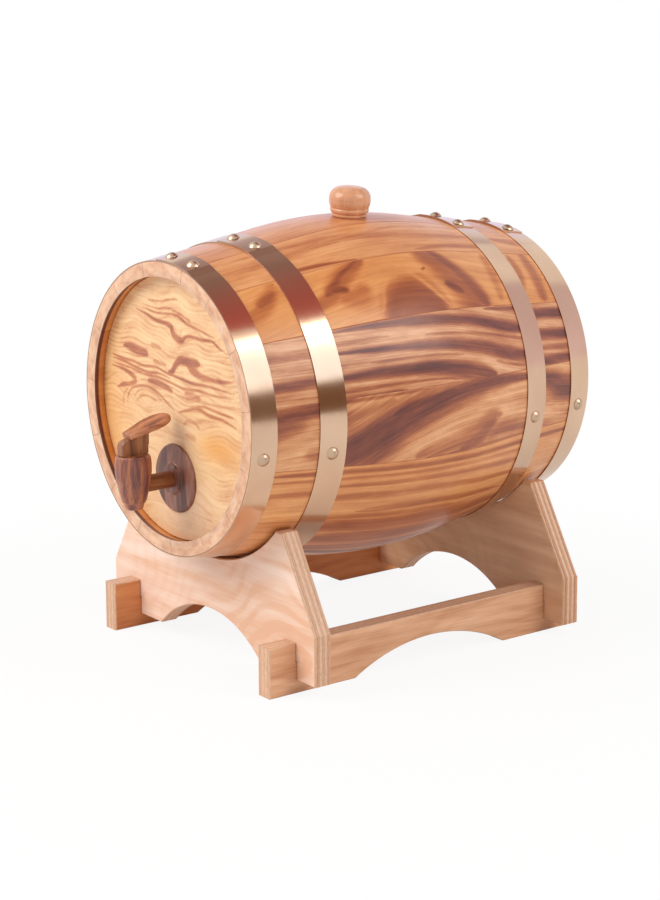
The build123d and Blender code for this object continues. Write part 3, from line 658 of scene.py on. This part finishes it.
# Grain of the front head: each mark's darkness, then the place to the right of the middle, the height
# above it and the half width of its points.
head_marks = [
    (0.5, [(-30, 62.5, 0.5), (-16, 63.5, 0.6), (-6, 65.5, 0.6), (6, 67.5, 0.5)]),
    (0.5, [(-34, 59.5, 0.5), (-18, 58.6, 0.6), (-6, 60.4, 0.6), (6, 58.6, 0.7), (20, 55, 0.6)]),
    (0.6, [(-38, 57.5, 0.5), (-20, 56, 0.7), (-10, 56.6, 0.7), (-2, 57.6, 0.7), (6, 56.6, 0.8),
           (14, 53.4, 0.8), (30, 51, 0.6), (44, 48.6, 0.5)]),
    (0.8, [(-42, 55.6, 0.6), (-30, 53.6, 0.9), (-20, 51.2, 1.0), (-10, 50.8, 1.1), (-3, 49.6, 1.5),
           (-2, 46.4, 1.7), (2, 43.6, 2.2), (8, 42.6, 1.6), (12, 45, 0.9), (18, 46.4, 0.9), (30, 46, 0.9),
           (40, 46.8, 0.7), (48, 43.4, 0.6), (58, 41, 0.5)]),
    (0.75, [(-58, 30.4, 0.8), (-50, 30.6, 2.2), (-42, 29.6, 2.5), (-33, 29, 2.2), (-30, 28.4, 0.8)]),
    (0.35, [(-27, 35.4, 1.4), (-14, 34.6, 1.0)]),
    (0.45, [(-24, 25.6, 1.0), (-16, 25.2, 1.3), (-9, 25, 0.8)]),
    (0.85, [(-8, 20.8, 1.0), (-3, 22, 1.5), (1, 26.6, 1.7), (6, 30, 2.0), (14, 30.4, 2.4),
            (22, 30.6, 2.3), (28, 31, 1.2)]),
    (0.75, [(12, 29, 1.4), (20, 26, 2.4), (28, 23.6, 2.0), (38, 23.4, 1.3), (48, 23.6, 1.1),
            (62, 25.4, 0.7)]),
    (0.7, [(-72, 23.4, 0.5), (-60, 22, 0.7), (-48, 22, 0.8), (-34, 20.8, 0.8), (-22, 22, 0.7),
           (-10, 20.4, 0.7), (6, 19, 0.8), (20, 18, 0.8), (34, 18.8, 0.7), (64, 18.4, 0.6)]),
    (0.7, [(-70, 20.8, 0.5), (-56, 20.2, 0.7), (-44, 18.6, 0.8), (-30, 17.4, 0.8), (-18, 18.6, 0.6),
           (-4, 17.2, 0.5)]),
    (0.6, [(-70, 17.8, 0.5), (-50, 17.2, 0.5), (-34, 15.6, 0.7), (-16, 16, 0.7), (0, 14.4, 0.8),
           (10, 13.4, 0.8), (24, 14.6, 0.7), (40, 14.2, 0.6), (64, 15.6, 0.5)]),
    (0.65, [(-31, 12, 1.0), (-22, 12.6, 1.6), (-10, 11.4, 1.6), (-2, 8.8, 0.9)]),
    (0.45, [(10, 10.6, 1.0), (18, 10.4, 1.8), (28, 9.6, 0.9)]),
    (0.65, [(-72, 16, 0.7), (-58, 15, 0.9), (-47, 12.4, 1.4), (-44.5, 9.6, 1.5), (-50, 7, 1.2),
            (-58, 5.4, 1.2), (-67, 2, 0.6)]),
    (0.35, [(-46, 0, 0.5), (-40, 4.6, 0.6), (-30, 6, 0.6), (-20, 4.2, 0.6), (-14, 1, 0.5)]),
    (0.5, [(-54, -6, 0.5), (-52, 1, 0.6), (-45, 6, 0.8), (-31, 8.2, 0.8), (-18, 5.6, 0.8), (-9, 1.6, 0.7),
           (0, -2, 0.5)]),
    (0.35, [(-58, -8, 0.5), (-58, -1, 0.5), (-52, 4.6, 0.5)]),
    (0.4, [(-44, -3, 0.5), (-37, 1.6, 0.6), (-28, 2.4, 0.6), (-20, 0.4, 0.5)]),
    (0.65, [(2, -2.6, 0.6), (13, 0.6, 0.8), (24, 3.4, 1.0), (36, 1.4, 1.0), (50, 0.8, 0.8),
            (66, -2, 0.6)]),
    (0.6, [(18, 2.6, 0.5), (30, 5.6, 0.8), (44, 5, 0.8), (64, 4, 0.6)]),
    (0.4, [(-2, 8, 0.5), (30, 8, 0.7), (64, 9.6, 0.5)]),
    (0.35, [(8, -9, 0.8), (14, -6, 1.2), (22, -6.4, 0.8), (26, -9.4, 0.7)]),
    (0.3, [(10, -15, 1.6), (22, -16, 1.6)]),
    (0.25, [(12, -62, 0.5), (40, -63.4, 0.5)]),
]

# It gives the eye a creamy yellow board with thin reddish brown veins.
pale_wood = board_wood(
    "varnished_pale_figured_wood",
    [(0.0, "#f6d2a2"), (0.2, "#eec292"), (0.4, "#dda577"),
     (0.6, "#ca855b"), (0.8, "#b26b4c"), (1.0, "#965642")],
    swings=(0.9, 0.45, 0.45, 0.4), coat=0.5, coat_roughness=0.25)


def tube_faces(rows, sectors):
    """Quads of a closed band of rings, the last ring joined to the first."""
    cells = np.meshgrid(np.arange(rows), np.arange(sectors), indexing="ij")
    ring, turn = [grid.ravel() for grid in cells]
    after, beside = (ring + 1) % rows, (turn + 1) % sectors
    return np.stack([ring * sectors + turn, after * sectors + turn, after * sectors + beside,
                     ring * sectors + beside], 1)


def welded(points, faces):
    """Points that coincide become one, quads that lose a side become triangles, and those that lose
    two sides go, so a ring of no radius closes to a pole."""
    kept, merged = np.unique(np.round(points, 5), axis=0, return_index=True, return_inverse=True)[1:]
    faces = merged.ravel()[faces]
    lost = faces == np.roll(faces, 1, axis=1)
    pinched = lost.sum(1) == 1
    return points[kept], [*faces[~lost.any(1)], *faces[pinched][~lost[pinched]].reshape(-1, 3)]


def make_head(node, front, outward, drop, hole, marks):
    """A head as rings, out over its face, over the rim and back to the hole. A row is the ring's share
    of the way from the hole to the edge, its depth, and how far it stands out. Its radius and its
    height go from the hole's to the board's by that share. The grain is the marks over wavy rings
    3 mm apart, bold across the upper middle. A warm patch lies low on the right, another at the left
    edge, and a purple stain at the foot, where the board is also painted paler, a painted light against
    its shading. A head without marks has plain arched rings."""
    face_rings, back_rings, sectors = 140, 15, 560
    edge, shoulder = edge_round, 0.07
    step = (head_thickness - croze_width) / 2
    far_step = step + croze_width
    rim = rim_radius - face_radius
    face_shares, back_shares = np.linspace(0, 1, face_rings), np.linspace(1, 0, back_rings)
    rows = [(share, 0.0, -edge if share == 1 else 0.0) for share in face_shares]
    rows += [(1, shoulder, -shoulder), (1, edge, 0.0), (1, step, 0.0), (1, step, rim), (1, far_step, rim),
             (1, far_step, 0.0), (1, head_thickness - edge, 0.0), (1, head_thickness - shoulder, -shoulder)]
    rows += [(share, head_thickness, -edge if share == 1 else 0.0) for share in back_shares]
    share, depth, widen = np.array(rows).T
    turn = np.arange(sectors) * 2 * pi / sectors
    bore = np.maximum(hole - depth * hole_slope, 0)
    ring = (1 - share) * bore + share * face_radius + widen
    x = ring[:, None] * np.cos(turn)
    z = ring[:, None] * np.sin(turn) - ((1 - share) * drop)[:, None]
    y = front + outward * np.repeat(depth[:, None], sectors, 1)
    points = np.stack([x.ravel(), y.ravel(), axis_height + z.ravel()], 1)
    faces = tube_faces(len(rows), sectors)
    points, faces = welded(points, faces if outward > 0 else faces[:, ::-1])
    x, z = points[:, 0], points[:, 2] - axis_height
    waves = 2.0 * np.sin(x / 9 + z / 14) + 1.2 * np.sin(x / 5.1 - z / 8) + 3 * np.sin(x / 31 + z / 40)
    bumps = ((13, -31, -2, 20, 8), (7, 4, 43, 12, 6), (-8, -58, 12, 16, 6),
             (6, 18, 27, 14, 5), (5, 20, -8, 14, 6))
    swell = sum(height * np.exp(-((x - at_x) / wide) ** 2 - ((z - at_z) / tall) ** 2)
                for height, at_x, at_z, wide, tall in bumps)
    ring_spacing = 3.1
    rings = (0.5 + 0.5 * np.cos(2 * pi * (z + 0.6 * waves + swell) / ring_spacing)) ** 4
    bold = (0.25 + 0.75 * np.exp(-((z - 22) / 34) ** 4)) * (0.7 + 0.3 * np.sin(x / 17 + z / 6))
    patch = np.exp(-(((x - 44) / 22) ** 2 + ((z + 18) / 9) ** 2))
    low_left = np.exp(-(((x + 80) / 40) ** 2 + ((z + 30) / 60) ** 2))
    # At the foot the board is tinted purple and also painted paler, a painted light against its shading.
    stain = 0.5 * np.exp(-(((x - 6) / 34) ** 2 + ((z + 66) / 30) ** 2))
    if marks:
        grain = np.maximum(grain_marks(x, z, marks, edge=0.5), 0.34 * rings * bold) - 0.5 * stain
        warmth = np.clip(0.7 * patch + 0.45 * low_left, 0, 1)
    else:
        arched = ring_grain(x + waves, z + waves, 0, eye=(-60, -30), stretch=4.0, spacing=5.5)[0]
        grain = 0.7 * arched - 0.5 * stain
        warmth, stain = np.full(len(x), 0.2), np.zeros(len(x))
    make_piece(node + "_board", points, faces, node, "cask", pale_wood, {
        "figure": np.stack([grain, 1.3 * (z + waves), 1.6 * x + front * 7], 1),
        "tone": np.stack([warmth, stain, np.zeros(len(x))], 1)})


make_head("head_front", front_end + head_recess, 1, drop=tap_drop, hole=hole_radius, marks=head_marks)
make_head("head_rear", front_end + cask_length - head_recess, -1, drop=0.0, hole=0.0, marks=[])


# ---- hoops, rivets and nails ----
# Brass strip, rolled into cones, lapped and riveted near the crown and nailed at both sides. The
# strip has a fine satin from drawing, along its length; the domed heads are polished.
def brass(name, colour, roughness, satin):
    """Brass with a fine satin round the cask's axis, patches of soft tarnish about 40 mm across, and
    front and back edges painted darker, a painted shade. Real satin lines are a few hundredths of a
    millimetre apart. These are drawn coarser, 0.4 mm apart, because finer ones would only flicker."""
    satin_per_metre = (60.0, 2600.0, 60.0)
    tarnish_per_metre = 24.0
    satin_depth = 0.00005
    material, tree = new_material(name)
    held = add(tree, "ShaderNodeTexCoord")
    at = held.outputs["Object"]
    cloud = add(tree, "ShaderNodeTexNoise", {"Vector": at, "Scale": tarnish_per_metre, "Detail": 3.0})
    lines = stretched_noise(tree, at, satin_per_metre, 2.0)
    tint = add(tree, "ShaderNodeMapRange", {"Value": cloud.outputs[0], "From Min": 0.35, "From Max": 0.7})
    shade = add(tree, "ShaderNodeMix", {0: tint.outputs[0], 6: srgb(colour), 7: srgb("#d2ae92")},
                data_type="RGBA")
    facing = add(tree, "ShaderNodeSeparateXYZ", {0: held.outputs["Normal"]}).outputs[1]
    facing = add(tree, "ShaderNodeMath", {0: facing}, operation="ABSOLUTE").outputs[0]
    # Faces that point along the cask are painted darker: painted shade on the strip's edges.
    painted_edge_shade = add(tree, "ShaderNodeMapRange", {
        "Value": facing, "From Min": 0.9, "From Max": 0.97}).outputs[0]
    shade = add(tree, "ShaderNodeMix", {0: painted_edge_shade, 6: shade.outputs[2], 7: srgb("#b8947c")},
                data_type="RGBA")
    dull = add(tree, "ShaderNodeMapRange", {
        "Value": cloud.outputs[0], "To Min": roughness - 0.04, "To Max": roughness + 0.08})
    bump = add(tree, "ShaderNodeBump", {"Height": lines, "Strength": satin, "Distance": satin_depth})
    surface = add(tree, "ShaderNodeBsdfPrincipled", {
        "Base Color": shade.outputs[2], "Metallic": 1.0, "Roughness": dull.outputs[0],
        "Normal": bump.outputs[0]})
    add(tree, "ShaderNodeOutputMaterial", {"Surface": surface.outputs[0]})
    return material


def dress(node, material):
    """Give a CAD node its real material."""
    for slot in bpy.data.objects[node].material_slots:
        slot.material = material


# The strip gives the eye long soft bands of light and dark, the heads small warm glints.
strip_brass = brass("satin_brass_strip", "#dcba9d", roughness=0.13, satin=0.15)
head_brass = brass("polished_brass_heads", "#b6a28a", roughness=0.26, satin=0.0)
for node in ("chime_hoop_front", "bilge_hoop_front", "bilge_hoop_rear", "chime_hoop_rear"):
    dress(node, strip_brass)
for node in ("hoop_rivets", "hoop_nails"):
    dress(node, head_brass)


# ---- bung, tap and key ----
# All turned but the flat paddle of the key. The bung is pale varnished wood, pushed into its hole. The
# tap is dark and oiled: its shank is driven into the head, the rosette covers that joint, and the key
# sits in the body by its taper.
def piece_coordinates(tree):
    """Sockets of the place on a CAD piece, in millimetres, and of the way its surface faces."""
    held = add(tree, "ShaderNodeTexCoord")
    at = add(tree, "ShaderNodeVectorMath", {0: held.outputs["Object"], 1: [1 / mm] * 3},
             operation="MULTIPLY")
    return at.outputs[0], held.outputs["Normal"]


def turned_wood(name, colours, axis, coat):
    """Turned wood with its grain along one axis: broad soft streaks about 6 mm across and fibres
    0.6 mm across."""
    material, tree = new_material(name)
    at = piece_coordinates(tree)[0]
    broad = [0.02 if number == axis else 0.16 for number in range(3)]
    fine = [0.05 if number == axis else 1.6 for number in range(3)]
    streaks = stretched_noise(tree, at, broad, 3.0, 0.6)
    fibre = stretched_noise(tree, at, fine, 3.0, 0.6)
    dark = mixed_in(tree, streaks, fibre, 0.3)
    colour = add(tree, "ShaderNodeValToRGB", {0: dark}, stops=colours)
    finish_wood(tree, colour.outputs[0], fibre, roughness=0.45, coat=coat, coat_roughness=0.2, relief=0.2)
    return material


# The bung gives the eye a light, glossy knob, the tap dark reddish streaks with a dull sheen.
peach = [(0.3, "#e4aa83"), (0.5, "#da9f79"), (0.62, "#d0926c"), (0.75, "#be7e5e")]
red_brown = [(0.34, "#c98965"), (0.48, "#b0704f"), (0.58, "#915746"), (0.7, "#694040")]
light_brown = [(0.3, "#b5825f"), (0.48, "#9a6646"), (0.6, "#784835"), (0.72, "#523028")]
lever_brown = [(0.34, "#cf9068"), (0.48, "#b4734f"), (0.6, "#8f543e"), (0.74, "#643c32")]
orange_brown = [(0.3, "#a0643a"), (0.5, "#814726"), (0.62, "#61301b"), (0.78, "#3f2015")]
grey_brown = [(0.3, "#a06f5e"), (0.44, "#855444"), (0.56, "#653a30"), (0.7, "#432420")]
dress("bung", turned_wood("turned_pale_wood", peach, axis=2, coat=0.9))
for node, axis, colours in (
    ("tap_body", 2, red_brown),
    ("tap_plug", 2, light_brown),
    ("tap_lever", 1, lever_brown),
    ("tap_shank", 1, orange_brown),
    ("tap_rosette", 2, grey_brown),
):
    dress(node, turned_wood(node + "_dark_wood", colours, axis, coat=0.35))


# ---- stand ----
# Two cradle panels and two rails of twelve millimetre birch plywood, sawn, chamfered, cross-lapped
# and given one thin satin coat. The faces show rotary cut veneer, the edges the stripes of the plies.
def plywood(name, node, axis, light, dark, arcs, worn):
    """Plywood whose sheets lie square to one axis. The edges show stripes of the plies, faint where
    worn. The faces show long soft grain, 9 mm across, and fibres 0.8 mm across under the arched figure
    of a rotary cut veneer, whose bands, some 8 mm apart, run round a point and are drawn out by a
    different share per axis. A slow noise bends them, and they fade away from that point."""
    bend = 46.0
    band_turn = 0.8
    fade_start, fade_end, far_share = 12.0, 60.0, 0.2
    material, tree = new_material(name)
    at, facing = piece_coordinates(tree)
    parts = add(tree, "ShaderNodeSeparateXYZ", {0: at}).outputs
    low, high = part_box(node)
    side = add(tree, "ShaderNodeMapRange", {
        "Value": parts[axis], "From Min": low[axis] / mm, "From Max": high[axis] / mm}).outputs[0]
    plies = add(tree, "ShaderNodeValToRGB", {0: side}, stops=[
        (0.0, "#edb98f"), (0.1, "#f2c8a4"), (0.13, "#a35f4a"), (0.17, "#dc9c78"), (0.29, "#dba079"),
        (0.32, "#f6d4b6"), (0.44, "#f3cba9"), (0.47, "#c98a66"), (0.5, "#e3aa82"), (0.6, "#e0a67f"),
        (0.63, "#f6d2b4"), (0.76, "#f0c5a0"), (0.79, "#a8614a"), (0.83, "#dea07c"), (1.0, "#ecb990")])
    speck = stretched_noise(tree, at, [1.5 if n == axis else 0.35 for n in range(3)], 3.0, 0.6)
    rough_edge = add(tree, "ShaderNodeMapRange", {
        "Value": speck, "From Min": 0.3, "From Max": 0.7, "To Min": 0.66, "To Max": 0.92})
    rubbed = add(tree, "ShaderNodeMix", {0: worn, 6: plies.outputs[0], 7: srgb("#f3c8aa")},
                 data_type="RGBA")
    edge = add(tree, "ShaderNodeVectorMath", {0: rubbed.outputs[2], "Scale": rough_edge.outputs[0]},
               operation="SCALE")
    long_axis = 1 if axis == 0 else 0
    soft = stretched_noise(tree, at, [0.012 if n == long_axis else 0.11 for n in range(3)], 3.0, 0.55)
    fibre = stretched_noise(tree, at, [0.03 if n == long_axis else 1.3 for n in range(3)], 3.0, 0.6)
    grain = mixed_in(tree, soft, fibre, 0.35)
    middle, drawn, swell = arcs
    off = add(tree, "ShaderNodeVectorMath", {0: at, 1: middle}, operation="SUBTRACT")
    flat = add(tree, "ShaderNodeVectorMath", {0: off.outputs[0], 1: drawn}, operation="MULTIPLY")
    away = add(tree, "ShaderNodeVectorMath", {0: flat.outputs[0]}, operation="LENGTH")
    slow = stretched_noise(tree, at, (0.016, 0.016, 0.022), 0.6)
    warped = mixed_in(tree, away.outputs["Value"], slow, bend)
    wave = add(tree, "ShaderNodeMath", {0: warped, 1: band_turn}, operation="MULTIPLY")
    wave = add(tree, "ShaderNodeMath", {0: wave.outputs[0]}, operation="SINE")
    wave = add(tree, "ShaderNodeMapRange", {"Value": wave.outputs[0], "From Min": -0.4, "From Max": 1.0},
               interpolation_type="SMOOTHSTEP")
    fade = add(tree, "ShaderNodeMapRange", {
        "Value": away.outputs["Value"], "From Min": fade_start, "From Max": fade_end,
        "To Min": swell, "To Max": far_share * swell})
    grain = add(tree, "ShaderNodeMath", {0: wave.outputs[0], 1: fade.outputs[0], 2: grain},
                operation="MULTIPLY_ADD").outputs[0]
    face = add(tree, "ShaderNodeValToRGB", {0: grain}, stops=[(0.3, light), (0.72, dark)])
    normal = add(tree, "ShaderNodeSeparateXYZ", {0: facing}).outputs[axis]
    flatness = add(tree, "ShaderNodeMath", {0: normal}, operation="ABSOLUTE")
    on_face = add(tree, "ShaderNodeMapRange", {
        "Value": flatness.outputs[0], "From Min": 0.85, "From Max": 0.95})
    colour = add(tree, "ShaderNodeMix", {0: on_face.outputs[0], 6: edge.outputs[0], 7: face.outputs[0]},
                 data_type="RGBA")
    finish_wood(tree, colour.outputs[2], grain, roughness=0.5, coat=0.15, coat_roughness=0.3, relief=0.2)
    return material


# It gives the eye pale pinkish panels, redder rails and fine stripes along every edge. The left rail's
# stronger orange is painted shade, the warm bounce-lit shade on its inner face.
for node, axis, light, dark, arcs, worn in (
    ("cradle_panel_front", 1, "#f9dfd0", "#e9ba9b", ((82.0, 0.0, 20.0), (0.55, 0.0, 1.0), 0.24), 0.4),
    ("cradle_panel_rear", 1, "#ebc6a4", "#d2a17d", ((-40.0, 0.0, 30.0), (0.6, 0.0, 1.0), 0.1), 0.0),
    ("rail_left", 0, "#eda66c", "#cc7c49", ((0.0, 60.0, -30.0), (0.0, 0.2, 1.0), 0.12), 0.6),
    ("rail_right", 0, "#efc09c", "#c98e68", ((0.0, 40.0, -24.0), (0.0, 0.2, 1.0), 0.16), 0.6),
):
    dress(node, plywood(node + "_plywood", node, axis, light, dark, arcs, worn))
